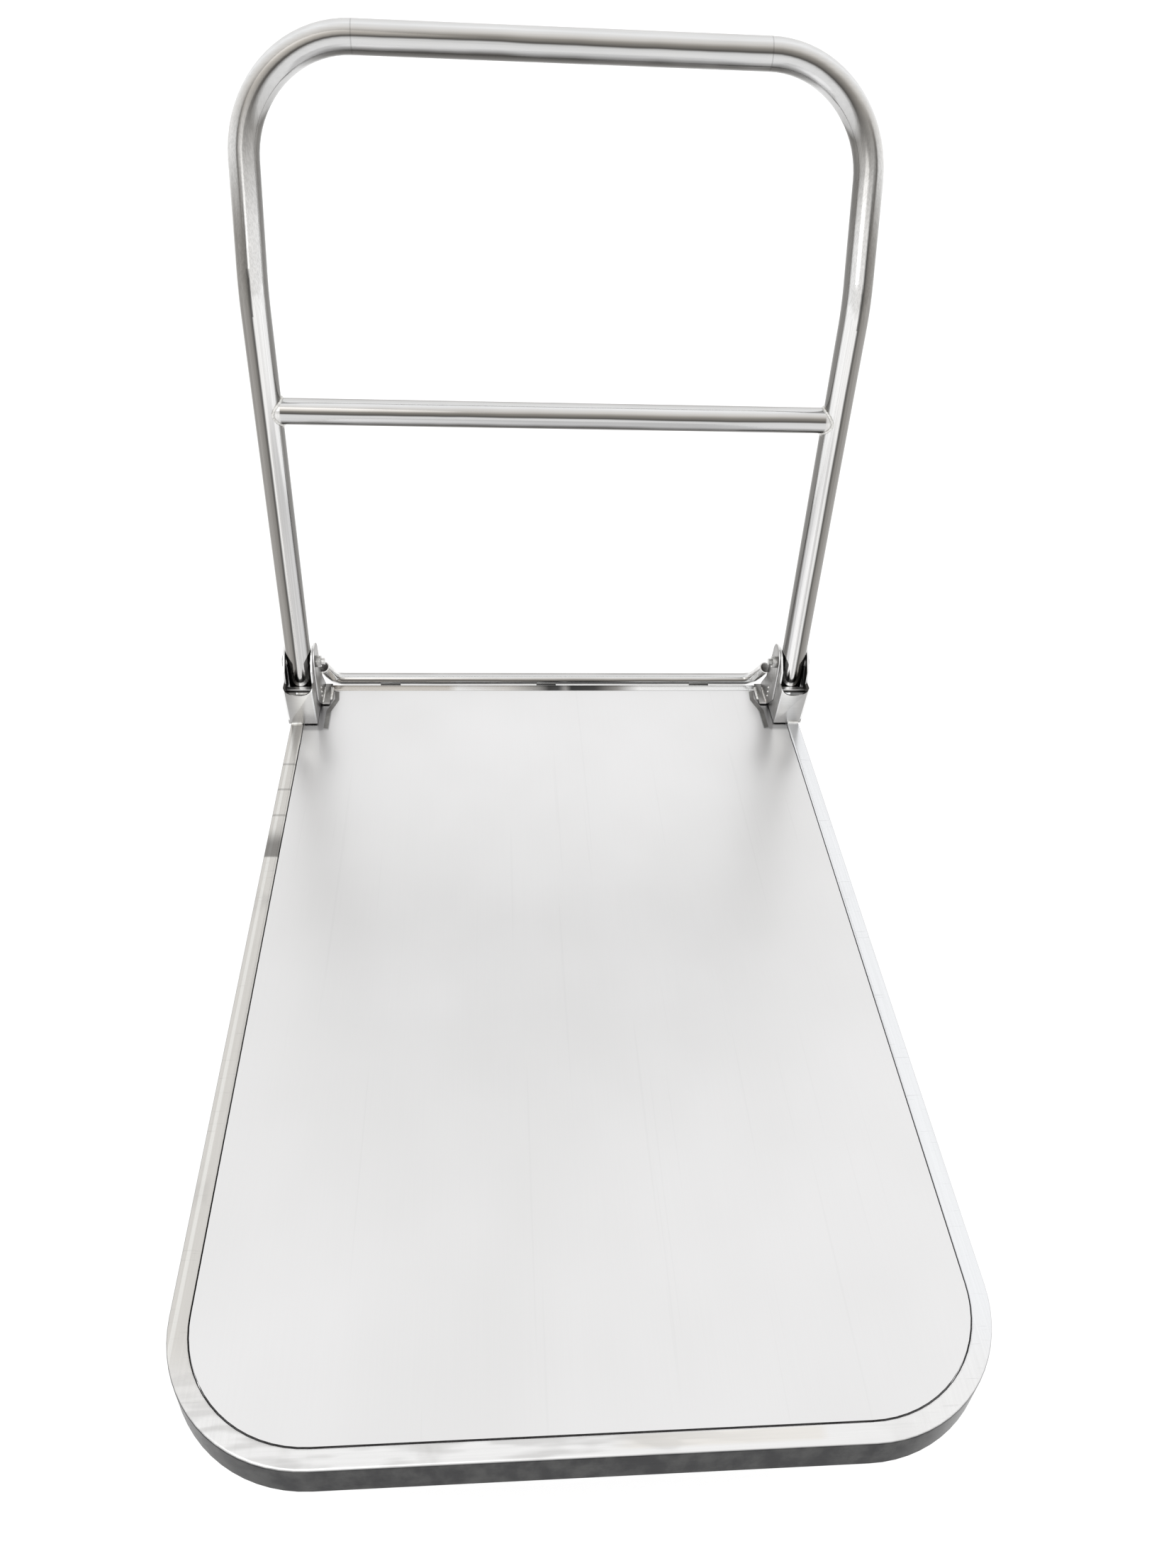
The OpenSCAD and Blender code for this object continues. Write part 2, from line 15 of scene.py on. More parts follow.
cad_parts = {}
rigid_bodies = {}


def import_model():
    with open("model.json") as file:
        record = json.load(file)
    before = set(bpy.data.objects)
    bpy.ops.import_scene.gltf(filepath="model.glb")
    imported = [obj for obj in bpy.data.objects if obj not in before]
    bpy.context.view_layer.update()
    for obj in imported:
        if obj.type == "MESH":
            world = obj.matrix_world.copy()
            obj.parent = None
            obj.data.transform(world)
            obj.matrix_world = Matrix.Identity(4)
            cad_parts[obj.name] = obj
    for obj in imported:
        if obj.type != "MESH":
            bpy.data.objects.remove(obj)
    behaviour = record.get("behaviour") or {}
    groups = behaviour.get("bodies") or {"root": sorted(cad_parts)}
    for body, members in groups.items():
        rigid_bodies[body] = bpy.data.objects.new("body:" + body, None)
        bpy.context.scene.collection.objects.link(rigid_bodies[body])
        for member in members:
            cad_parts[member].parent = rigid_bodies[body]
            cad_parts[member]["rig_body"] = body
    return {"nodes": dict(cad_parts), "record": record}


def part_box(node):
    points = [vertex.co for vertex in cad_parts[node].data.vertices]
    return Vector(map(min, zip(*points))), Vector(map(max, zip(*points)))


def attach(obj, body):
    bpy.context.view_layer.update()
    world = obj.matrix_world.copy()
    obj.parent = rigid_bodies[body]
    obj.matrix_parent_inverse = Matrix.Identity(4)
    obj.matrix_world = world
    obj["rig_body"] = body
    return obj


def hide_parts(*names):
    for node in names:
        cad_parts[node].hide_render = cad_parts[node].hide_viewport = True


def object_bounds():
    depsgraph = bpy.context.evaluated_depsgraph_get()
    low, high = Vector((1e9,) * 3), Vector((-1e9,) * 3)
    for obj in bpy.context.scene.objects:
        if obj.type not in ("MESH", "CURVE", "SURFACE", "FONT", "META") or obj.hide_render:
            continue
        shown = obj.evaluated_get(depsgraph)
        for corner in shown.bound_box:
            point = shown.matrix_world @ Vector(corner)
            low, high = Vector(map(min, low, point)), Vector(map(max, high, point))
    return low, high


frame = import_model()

MM = 0.001
cad_box = [list(corner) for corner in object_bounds()]
nodes = frame["nodes"]
print("CAD box:", [[round(v, 4) for v in c] for c in cad_box], "with", len(nodes), "nodes")

# %% [markdown]
# Every later step needs a few places on the cart. They are read from the boxes of the CAD parts, so
# the pieces made here follow the CAD model if its sizes change. A few sizes aren't in any box, such as
# the height of the knee where the handle leans back. Those of the handle and the rear bar come next.

# %% Places taken from the CAD parts


def middle(node):
    low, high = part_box(node)
    return (low + high) / 2


FRONT_Y = cad_box[0][1]
REAR_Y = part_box("rear_rail")[1].y
DECK_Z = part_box("rear_rail")[1].z
SHEET_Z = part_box("deck_sheet")[1].z
LEG_X = middle("right_bracket").x
LEG_Y = middle("pivot_bolts").y
BAR_Z = middle("crossbar").z
CROSSBAR_R = (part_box("crossbar")[1].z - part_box("crossbar")[0].z) / 2
print("leg axis at", round(LEG_X, 4), round(LEG_Y, 4), "and crossbar at", round(BAR_Z, 4))

# %% Sizes of the handle and the rear bar
TUBE_R = 14 * MM
TOP_BEND_R = 100 * MM
KNEE_H = 482 * MM
STUB_W = 24 * MM
BORE_R = 6 * MM

TOP_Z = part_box("handle_tube")[1].z - TUBE_R
SEAM_X = LEG_X - TOP_BEND_R
KNEE_Z = DECK_Z + KNEE_H
STUB_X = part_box("rear_bar")[1].x - STUB_W
STUB_ROOT = Vector((256 * MM, FRONT_Y + 910 * MM, DECK_Z + 1.5 * MM))
STUB_DIR = Vector((10, -25, 34)).normalized()
print("top bar at", round(TOP_Z, 4), "and knee at", round(KNEE_Z, 4))

# %% [markdown]
# A finish is a small network of nodes. Writing it as arithmetic keeps it readable, so a thin class
# wraps a socket and turns `+`, `-`, `*` and `/` into Math nodes. Soft masks have names of their own:
# `rise` for an edge, `within` for a band and `near` for a line. Everything else comes from `node`.

# %% A socket that can be used in sums


class Value:
    def __init__(self, finish, socket):
        self.finish, self.socket = finish, socket

    def _math(self, operation, a, b):
        return self.finish.node("ShaderNodeMath", {"operation": operation}, {0: a, 1: b})

    def __add__(self, other):
        return self._math("ADD", self, other)

    def __sub__(self, other):
        return self._math("SUBTRACT", self, other)

    def __rsub__(self, other):
        return self._math("SUBTRACT", other, self)

    def __mul__(self, other):
        return self._math("MULTIPLY", self, other)

    def __truediv__(self, other):
        return self._math("DIVIDE", self, other)

    __radd__ = __add__
    __rmul__ = __mul__

    def size(self):
        return self._math("ABSOLUTE", self, 0.0)

    def rise(self, low, high):
        """0 below low, 1 above high, and smooth between them."""
        return self.finish.node(
            "ShaderNodeMapRange", {"interpolation_type": "SMOOTHSTEP"}, {0: self, 1: low, 2: high}
        )

    def within(self, low, full_low, full_high, high):
        """1 between the two full values, 0 outside low and high, and smooth between."""
        return self.rise(low, full_low) * (1 - self.rise(full_high, high))

    def near(self, place, inner, outer):
        """1 within inner of the place, 0 beyond outer, and smooth between."""
        return 1 - (self - place).size().rise(inner, outer)


# %% A finish, its nodes and its patterns


class Finish:
    def __init__(self, name, **fixed):
        self.material = bpy.data.materials.new(name)
        self.material.use_nodes = True
        self.tree = self.material.node_tree
        self.shader = self.tree.nodes["Principled BSDF"]
        for socket, value in fixed.items():
            self.shader.inputs[socket.replace("_", " ")].default_value = value
        place = self.tree.nodes.new("ShaderNodeTexCoord")
        self.place = Value(self, place.outputs["Object"])
        self.x, self.y, self.z = self.parts(self.place)
        self.nx, self.ny, self.nz = self.parts(Value(self, place.outputs["Normal"]))

    def node(self, kind, settings=None, sockets=None, out=0):
        made = self.tree.nodes.new(kind)
        for name, value in (settings or {}).items():
            setattr(made, name, value)
        for key, value in (sockets or {}).items():
            if isinstance(value, Value):
                self.tree.links.new(value.socket, made.inputs[key])
            else:
                made.inputs[key].default_value = value
        return Value(self, made.outputs[out])

    def parts(self, vector):
        made = self.node("ShaderNodeSeparateXYZ", None, {0: vector})
        return [Value(self, made.socket.node.outputs[i]) for i in range(3)]

    def mix(self, factor, a, b):
        """Colour a where factor is 0 and colour b where it is 1."""
        colours = [c if isinstance(c, Value) else (*c, 1.0) for c in (a, b)]
        settings = {"data_type": "RGBA"}
        return self.node("ShaderNodeMix", settings, {0: factor, 6: colours[0], 7: colours[1]}, out=2)

    def shade(self, colour, amount):
        """The colour times a number that varies over the surface."""
        return self.node("ShaderNodeVectorMath", {"operation": "SCALE"}, {0: colour, "Scale": amount})

    def noise(self, scale, detail=3.0, rough=0.6):
        """Noise from 0 to 1; scale gives how fast it changes along X, Y and Z, per metre."""
        spread = self.node("ShaderNodeMapping", None, {"Vector": self.place, "Scale": scale})
        sockets = {"Vector": spread, "Scale": 1.0, "Detail": detail, "Roughness": rough}
        return self.node("ShaderNodeTexNoise", None, sockets)

    def bands(self, value, stops):
        """Colour by position: stops are (place, brightness, warmth)."""
        made = self.node("ShaderNodeValToRGB", None, {0: value})
        ramp = made.socket.node.color_ramp
        for i, (place, bright, warm) in enumerate(stops):
            stop = ramp.elements[i] if i < 2 else ramp.elements.new(place)
            stop.position = place
            stop.color = (bright * (1 + warm), bright, bright * (1 - 1.3 * warm), 1)
        return made

    def done(self, colour, roughness, height, depth=0.05, **more):
        """Link the finish to its shader; depth is how deep the bumps seem, in millimetres."""
        sockets = {"Strength": 0.5, "Distance": depth * MM, "Height": height}
        bump = self.node("ShaderNodeBump", None, sockets)
        wanted = {"Base Color": colour, "Roughness": roughness, "Normal": bump, **more}
        for name, value in wanted.items():
            self.tree.links.new(value.socket, self.shader.inputs[name])
        print(self.material.name, "has", len(self.tree.nodes), "nodes")
        return self.material


# %% [markdown]
# Polished tube mirrors the room in long stripes; here they are painted reflections: pale where it faces
# a wall, brown-grey where it faces the dark side. A painted stripe depends only on which way the metal
# faces, so the colour is read from the surface direction. The legs turn from side to side, and the bars
# turn from top to bottom. Above its knee a leg leans back and mirrors other things, so it has a second
# set of painted reflection stripes there.

# %% Painted reflection stripes on the legs and the bars
LOWER_LEG_REFLECTIONS = [
    (0.0, 0.17, 0.03), (0.09, 0.2, 0.03), (0.14, 0.74, 0.0), (0.5, 0.7, 0.01), (0.56, 0.07, 0.04),
    (0.65, 0.2, 0.05), (0.8, 0.27, 0.04), (0.93, 0.2, 0.05), (0.98, 0.62, 0.01),
]
UPPER_LEG_REFLECTIONS = [
    (0.0, 0.1, 0.03), (0.1, 0.2, 0.04), (0.2, 0.33, 0.03), (0.42, 0.28, 0.03), (0.56, 0.36, 0.02),
    (0.64, 0.08, 0.04), (0.7, 0.7, 0.0), (0.9, 0.86, 0.0), (0.99, 0.45, 0.02),
]
BAR_REFLECTIONS = [
    (0.0, 0.2, 0.03), (0.06, 0.24, 0.03), (0.13, 0.66, 0.0), (0.36, 0.86, -0.01), (0.53, 0.58, 0.03),
    (0.62, 0.27, 0.06), (0.73, 0.08, 0.05), (0.775, 0.58, 0.0), (0.92, 0.64, 0.0), (0.99, 0.12, 0.04),
]
BAR_BACK, BAR_UP = 0.63, 0.776


def leg_reflection_colour(f, wobble):
    """Painted reflection stripes from a leg's inner side (0) round to its outer side (1)."""
    sideways = f.node("ShaderNodeMath", {"operation": "SIGN"}, {0: f.x})
    outward = (f.nx * sideways) * 0.5 + 0.5 + wobble
    lower, upper = f.bands(outward, LOWER_LEG_REFLECTIONS), f.bands(outward, UPPER_LEG_REFLECTIONS)
    return f.mix(f.z.rise(KNEE_Z + 40 * MM, KNEE_Z + 150 * MM), lower, upper)


def bar_reflection_colour(f, wobble):
    """Painted reflection stripes from a bar's upper back (0) down to its lower front (1)."""
    down = 0.5 - (f.ny * BAR_BACK + f.nz * BAR_UP) * 0.5 + wobble
    return f.bands(down, BAR_REFLECTIONS)


print("stripes:", len(LOWER_LEG_REFLECTIONS), len(UPPER_LEG_REFLECTIONS), len(BAR_REFLECTIONS))

# %% [markdown]
# The handle is one bent tube with a bar across it, so one finish covers both. It finds out which metal
# lies level: the top bar by its height, and the crossbar by its height and by being between the legs.
# Fine lines run along the tube from polishing, and a faint ring marks each end of the top bar.

# %% Polished handle tube


def handle_finish():
    f = Finish("polished_handle_tube", Metallic=1.0)
    level = f.z.rise(TOP_Z - 90 * MM, TOP_Z - 22 * MM)
    crossbar = f.z.within(BAR_Z - 16 * MM, BAR_Z - 15 * MM, BAR_Z + 15 * MM, BAR_Z + 16 * MM)
    between_legs = 1 - f.x.size().rise(LEG_X - 14 * MM, LEG_X - 12 * MM)
    lying = level + (1 - level) * crossbar * between_legs
    upright = f.noise((380, 380, 5))
    along = f.noise((5, 380, 380))
    streak = upright + (along - upright) * lying
    cloud = f.noise((9, 9, 6), detail=4)
    wobble = (f.noise((7, 7, 3)) - 0.5) * 0.09
    seam = f.x.size().near(SEAM_X, 0.3 * MM, 0.9 * MM)
    lines = f.noise((1100, 1100, 3), detail=2).rise(0.42, 0.58) * (1 - lying)
    worn = 0.86 + streak * 0.2 + (cloud - 0.5) * 0.12 + lines * 0.14 - seam * level * 0.22
    # The colour is painted reflection stripes, a leg's or a bar's by how the tube lies.
    colour = f.shade(f.mix(lying, leg_reflection_colour(f, wobble), bar_reflection_colour(f, wobble)), worn)
    return f.done(colour, 0.09 + streak * 0.1 + cloud.rise(0.5, 0.75) * 0.08, streak, 0.02)


# %% [markdown]
# The rear bar has the same polish and the same painted reflection stripes. Its turned-up ends are
# painted paler, as a plain bright reflection, and a little mottled. They are open, and a mirror deep
# inside a narrow bore only shows its own dark wall. So the bore is made rough and hardly metallic, which
# scatters the light. The bore is the metal close to the stub's axis, and the distance from an axis is
# the length of a cross product.

# %% Polished rear bar


def bar_finish():
    f = Finish("polished_rear_bar")
    wobble = (f.noise((12, 9, 9)) - 0.5) * 0.12
    streak = f.noise((6, 420, 420))
    turned_up = f.x.size().rise(STUB_X, STUB_X + 5 * MM)
    # The stubs are painted pale and a little mottled, as a bright reflection in place of the stripes.
    stub = f.mix(f.noise((60, 60, 60)).rise(0.35, 0.7), (0.84, 0.84, 0.83), (0.62, 0.61, 0.6))
    out, back, up = f.x.size() - STUB_ROOT.x, f.y - STUB_ROOT.y, f.z - STUB_ROOT.z
    a = back * STUB_DIR.z - up * STUB_DIR.y
    b = up * STUB_DIR.x - out * STUB_DIR.z
    c = out * STUB_DIR.y - back * STUB_DIR.x
    far_from_axis = (a * a + b * b + c * c).rise(BORE_R**2, (BORE_R + 0.4 * MM) ** 2)
    bore = turned_up * (1 - far_from_axis)
    colour = f.mix(bore, f.mix(turned_up, bar_reflection_colour(f, wobble), stub), (0.62, 0.61, 0.6))
    colour = f.shade(colour, 0.86 + streak * 0.16)
    roughness = 0.12 + streak * 0.12 + bore * 0.4
    return f.done(colour, roughness, streak, 0.02, Metallic=1 - bore * 0.9)


# %% [markdown]
# The frame is a polished box tube. Its top is painted as a reflection of the ceiling: pale, warmer on
# the left and cooler on the right, with a warm strip and dull clouds on the front rail and a painted
# highlight line on the left rail. Dark things beside the cart would show as short reflected patches, so
# a few are painted on the rear rail and far back on the left rail.

# %% Tops of the rails
# Painted reflected patches across the rear rail: (place across it, brightness, warmth).
REAR_REFLECTED_PATCHES = [
    (0.0, 0.6, 0.05), (0.3, 0.58, 0.05), (0.32, 0.8, 0.0), (0.42, 0.62, 0.03), (0.485, 0.3, 0.02),
    (0.505, 0.06, 0.02), (0.525, 0.08, 0.0), (0.538, 0.35, 0.02), (0.55, 0.05, 0.0), (0.6, 0.07, 0.02),
    (0.645, 0.3, 0.03), (0.69, 0.9, 0.0), (1.0, 0.88, -0.01),
]
RAIL_SPAN = 600 * MM
EDGE_X = 294.5 * MM
PATCH_Y = FRONT_Y + 614 * MM
CROSS_LINES = [PATCH_Y + away * MM for away in (43, 86, 130)]


def front_rail_reflections(f, top):
    # The front rail is painted white, with a warm strip and darker clouds, as reflections.
    front = 1 - f.y.rise(FRONT_Y + 25 * MM, FRONT_Y + 100 * MM)
    top = f.mix(front, top, (0.88, 0.88, 0.885))
    strip = f.x.within(5 * MM, 30 * MM, 150 * MM, 160 * MM)
    strip = strip * f.y.near(FRONT_Y + 9 * MM, 3 * MM, 6 * MM) * front
    top = f.mix(strip * 0.8, top, (0.84, 0.815, 0.78))
    dull = f.noise((16, 90, 16), detail=2).rise(0.45, 0.62) * (1 - f.x.rise(0.0, 0.14)) * front
    return f.mix(dull * 0.45, top, (0.5, 0.495, 0.49))


def left_rail_reflections(f, top):
    left = 1 - f.x.rise(-0.2, -0.19)
    # A dark patch and three lines across the left rail, painted as reflections.
    patch = f.y.within(PATCH_Y - 24 * MM, PATCH_Y - 20 * MM, PATCH_Y - 4 * MM, PATCH_Y + 26 * MM)
    for line_y in CROSS_LINES:
        patch = patch + 0.5 * f.y.near(line_y, 0.8 * MM, 2.4 * MM)
    return f.mix(left * patch * 0.75, top, (0.12, 0.115, 0.11))


def rail_top_reflections(f, cloud):
    right = f.x.rise(-0.22, 0.24)
    # Painted reflection of the ceiling: warmer on the left, cooler on the right, with darker clouds.
    top = f.mix(right, (0.68, 0.665, 0.64), (0.9, 0.915, 0.94))
    top = front_rail_reflections(f, top)
    top = f.mix(cloud.rise(0.56, 0.72) * (0.45 - 0.3 * right), top, (0.46, 0.45, 0.44))
    # A painted highlight line along the top of the left rail.
    edge_highlight = f.x.size().near(EDGE_X, 1 * MM, 2 * MM) * (1 - right)
    top = f.mix(edge_highlight * 0.5, top, (0.92, 0.92, 0.9))
    back = f.y.rise(REAR_Y - 14 * MM, REAR_Y - 12 * MM)
    top = f.mix(back, top, f.bands(f.x / RAIL_SPAN + 0.5, REAR_REFLECTED_PATCHES))
    return left_rail_reflections(f, top)


print("rear patches:", len(REAR_REFLECTED_PATCHES), "and lines across the left rail:", len(CROSS_LINES))

# %% [markdown]
# The upright sides are painted as a reflection of the ground. At the front they are painted dark and
# mottled, and they get lighter farther back and on the right. A side that faces the deck at the front
# gets painted light, so that the gap there isn't a black line. The grain follows the tube, along Y on
# the side rails and along X at the front and the rear. A lower specular tint keeps the steel dark even
# at a flat angle.

# %% Sides of the rails and the whole frame tube


def rail_side_light_and_reflections(f):
    # Painted reflection of the ground: dark and mottled at the front, lighter farther back and on the
    # right.
    mottle = f.noise((70, 70, 45), detail=5)
    side = f.mix(mottle.rise(0.35, 0.7), (0.038, 0.038, 0.04), (0.08, 0.08, 0.079))
    farther = f.y.rise(FRONT_Y + 60 * MM, FRONT_Y + 420 * MM)
    side = f.mix(farther, side, f.mix(mottle, (0.17, 0.17, 0.172), (0.28, 0.278, 0.272)))
    side = f.mix(f.x.rise(0.22, 0.3), side, (0.32, 0.32, 0.32))
    # Sides that face the deck at the front get painted light.
    painted_gap_light = f.ny.rise(0.6, 0.9) * (1 - farther)
    return f.mix(painted_gap_light, side, (0.5, 0.5, 0.5))


def frame_finish():
    f = Finish("frame_tube", Metallic=1.0, Specular_Tint=(0.65, 0.65, 0.65, 1.0))
    side_rail = f.x.size().rise(0.19, 0.27)
    along_x, along_y = f.noise((6, 500, 500)), f.noise((500, 6, 500))
    streak = along_x + (along_y - along_x) * side_rail
    cloud = f.noise((14, 9, 14), detail=4)
    marks = f.noise((30, 420, 30), detail=2).rise(0.62, 0.74) * side_rail
    top = f.shade(rail_top_reflections(f, cloud), 0.9 + streak * 0.16 - marks * 0.09)
    faces_sideways = 1 - f.nz.size().rise(0.35, 0.85)
    colour = f.mix(faces_sideways, top, rail_side_light_and_reflections(f))
    return f.done(colour, 0.15 + streak * 0.14 + cloud * 0.06, streak, 0.04)


# %% [markdown]
# The deck is one sheet with a very fine brushed grain and the odd faint scratch. Beside the brackets
# it is painted greyer, as a reflection of them. The plates that close its cut-outs have the same finish.

# %% Brushed deck sheet


def deck_finish():
    f = Finish("brushed_deck_sheet", Metallic=1.0)
    grain = f.noise((900, 9, 900), detail=4)
    cloud = f.noise((3.2, 2.4, 3), detail=3)
    scratch = f.noise((260, 2.2, 260), detail=1).rise(0.7, 0.74)
    # Painted reflection of the bracket: the sheet is greyer beside it.
    bracket_reflection = f.x.size().rise(0.2545, 0.2565) * f.y.rise(LEG_Y - 36 * MM, LEG_Y - 30 * MM)
    sheet = f.mix(cloud.rise(0.25, 0.8), (0.79, 0.79, 0.795), (0.86, 0.86, 0.87))
    sheet = f.mix(bracket_reflection * 0.75, sheet, (0.4, 0.4, 0.41))
    colour = f.shade(sheet, 0.98 + grain * 0.03 - scratch * 0.02)
    return f.done(colour, 0.25 + grain * 0.08 + cloud * 0.05, grain, 0.014)


# %% [markdown]
# Brackets and ear plates are satin sheet. Their front faces are painted lighter, fading to painted
# shade towards the outer side, their upper parts with the cut upper edges get a painted highlight, and
# the pocket that holds the leg is painted dark as shade. The pocket is told apart by its place, because
# its walls face the same ways as the outside does.

# %% Satin bracket sheet
POCKET_HALF = 14.2 * MM
SHEET_STEP = 0.6 * MM


def bracket_finish():
    f = Finish("satin_bracket_sheet", Metallic=1.0)
    grain = f.noise((60, 60, 700), detail=4)
    blotch = f.noise((45, 45, 45), detail=4)
    front = (0 - f.ny).rise(0.55, 0.85)
    pocket = f.x.size().within(
        LEG_X - POCKET_HALF - SHEET_STEP, LEG_X - POCKET_HALF,
        LEG_X + POCKET_HALF, LEG_X + POCKET_HALF + SHEET_STEP,
    )
    rim = (1 - pocket) + pocket * f.nz.rise(0.5, 0.8)
    # Above the foot, faces that don't face sideways get a painted highlight, except inside the pocket.
    upper_highlight = (1 - f.nx.size().rise(0.35, 0.6)) * rim * f.z.rise(DECK_Z + 5 * MM, DECK_Z + 8 * MM)
    plate = f.mix(blotch.rise(0.3, 0.75), (0.25, 0.245, 0.24), (0.44, 0.435, 0.425))
    # Front faces: painted light on the inner side, fading to painted shade on the outer side.
    outer_side = f.x.size().rise(LEG_X - 10 * MM, LEG_X + 14 * MM)
    wall = f.mix(outer_side, (0.8, 0.795, 0.78), (0.42, 0.415, 0.41))
    colour = f.mix(front, plate, wall)
    # The pocket is painted dark as shade.
    colour = f.mix(pocket * (1 - front), colour, (0.12, 0.118, 0.115))
    colour = f.shade(f.mix(upper_highlight, colour, (0.9, 0.9, 0.9)), 0.88 + grain * 0.2)
    return f.done(colour, 0.26 + grain * 0.16, grain, 0.05)


# %% [markdown]
# The other metals differ in colour, in how rough they are and in the pattern that making them left:
# mill finish under the deck, turned rings on bolts, zinc flower on the casters and heat colour on the
# welds. One function makes them from those choices.

# %% Other metals


def metal(name, dull, bright, rough, grain, blotch, heat=None, depth=0.05):
    f = Finish(name, Metallic=1.0)
    fine = f.noise(grain, detail=4)
    large = f.noise(blotch, detail=4)
    colour = f.mix(large.rise(0.32, 0.7), dull, bright)
    if heat:
        colour = f.mix(f.noise((70, 70, 70)).rise(0.55, 0.7) * 0.5, colour, heat)
    return f.done(f.shade(colour, 0.88 + fine * 0.2), rough + fine * 0.16, fine, depth)


# %% [markdown]
# The wheels are grey moulded nylon with dark rubber tyres, and the rail ends have black plugs. Moulded
# plastic has a fine even skin, and rubber has a dusty bloom and picks up grit, so both get a second
# colour in worn patches.

# %% Plastics and rubber


def moulded(name, colour, worn, rough, skin, worn_share):
    f = Finish(name, Metallic=0.0, IOR=1.5)
    fine = f.noise((skin, skin, skin), detail=4)
    large = f.noise((28, 28, 28), detail=4)
    mixed = f.mix(large.rise(0.5, 0.8) * worn_share, colour, worn)
    return f.done(f.shade(mixed, 0.9 + fine * 0.2), rough + large * 0.16, fine, 0.12)


# %% Make every finish
finishes = {
    "handle_steel": handle_finish(),
    "bar_steel": bar_finish(),
    "frame_steel": frame_finish(),
    "deck_steel": deck_finish(),
    "bracket_steel": bracket_finish(),
    "under_steel": metal(
        "mill_sheet", (0.36, 0.36, 0.36), (0.55, 0.55, 0.56), 0.34, (300, 12, 300), (8, 8, 8)
    ),
    "fastener_steel": metal(
        "turned_steel", (0.3, 0.3, 0.29), (0.66, 0.655, 0.64), 0.16, (900, 90, 90), (130, 130, 130)
    ),
    "weld_metal": metal(
        "weld_bead", (0.62, 0.61, 0.59), (0.92, 0.92, 0.9), 0.22, (700, 700, 700), (160, 160, 160),
        heat=(0.42, 0.33, 0.27), depth=0.15,
    ),
    "caster_steel": metal(
        "zinc_plate", (0.42, 0.43, 0.45), (0.62, 0.63, 0.65), 0.3, (420, 420, 420), (36, 36, 36),
        heat=(0.55, 0.55, 0.48),
    ),
    "bearing_steel": metal(
        "ground_steel", (0.5, 0.5, 0.5), (0.7, 0.7, 0.7), 0.18, (800, 120, 120), (90, 90, 90)
    ),
    "plug_plastic": moulded("black_plug", (0.02, 0.02, 0.022), (0.06, 0.06, 0.06), 0.5, 1600, 0.5),
    "wheel_nylon": moulded("grey_nylon", (0.34, 0.35, 0.36), (0.24, 0.24, 0.23), 0.42, 1100, 0.6),
    "tyre_rubber": moulded("tyre_rubber", (0.022, 0.022, 0.023), (0.075, 0.07, 0.065), 0.62, 1300, 0.7),
}

# %% Give each CAD part the finish of its slot
slot_of = {part["node"]: part["material_slot"] for part in frame["record"]["subparts"]}
for name, part in nodes.items():
    part.material_slots[0].material = finishes[slot_of[name]]
print("finishes:", len(finishes), "for", len(nodes), "CAD parts")

# %% [markdown]
# New pieces all end the same way: the mesh becomes an object at the origin, gets its finish, and is
# told which body carries it; the CAD parts it stands for are hidden.

# %% Turn a bmesh into a finished piece


def placed(name, data):
    made = bpy.data.objects.new(name, data)
    bpy.context.scene.collection.objects.link(made)
    return made


def piece(bm, name, body, slot, stands_for=(), smooth_below=35):
    bmesh.ops.recalc_face_normals(bm, faces=bm.faces)
    mesh = bpy.data.meshes.new(name)
    bm.to_mesh(mesh)
    bm.free()
    mesh.shade_smooth()
    mesh.set_sharp_from_angle(angle=math.radians(smooth_below))
    made = placed(name, mesh)
    mesh.materials.append(finishes[slot])
    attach(made, body)
    if stands_for:
        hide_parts(*stands_for)
    print(name, "has", len(mesh.polygons), "faces")
    return made


# %% [markdown]
# Sheet that has been cut and bent has rounded edges, and those edges catch the light. A copy of the
# CAD part is merged, its flat faces are joined, and only its sharp edges are bevelled.

# %% Softened copies of the sheet parts and nuts
corners = [a + "_" + b for a in ("front", "rear") for b in ("left", "right")]
edge_widths = {
    "left_bracket": 0.4,
    "right_bracket": 0.4,
    "left_ear_plate": 0.4,
    "right_ear_plate": 0.4,
    "stop_bars": 0.5,
    "bar_tabs": 0.4,
    "pivot_nuts": 0.5,
    **{corner + "_plate": 0.6 for corner in corners},
}


def softened(node, width):
    part = nodes[node]
    bm = bmesh.new()
    bm.from_mesh(part.data)
    bmesh.ops.remove_doubles(bm, verts=bm.verts, dist=0.002 * MM)
    bmesh.ops.dissolve_limit(
        bm, angle_limit=math.radians(0.5), use_dissolve_boundaries=False, verts=bm.verts, edges=bm.edges
    )
    sharp_above = math.radians(35)
    sharp = [e for e in bm.edges if len(e.link_faces) == 2 and e.calc_face_angle(0) > sharp_above]
    bmesh.ops.bevel(
        bm, geom=sharp, offset=width * MM, offset_type="OFFSET", affect="EDGES", segments=2, profile=0.5,
        material=-1, clamp_overlap=True,
    )
    piece(bm, "soft_" + node, part["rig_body"], slot_of[node], [node])


for node, width in edge_widths.items():
    softened(node, width)

# %% [markdown]
# A weld bead is a row of overlapping ripples. It starts as a cone with no taper, is cut into short
# lengths, and each ring is then made a little larger or smaller. The end rings are drawn in.

# %% Straight rippled beads
RINGS_PER_RIPPLE = 3


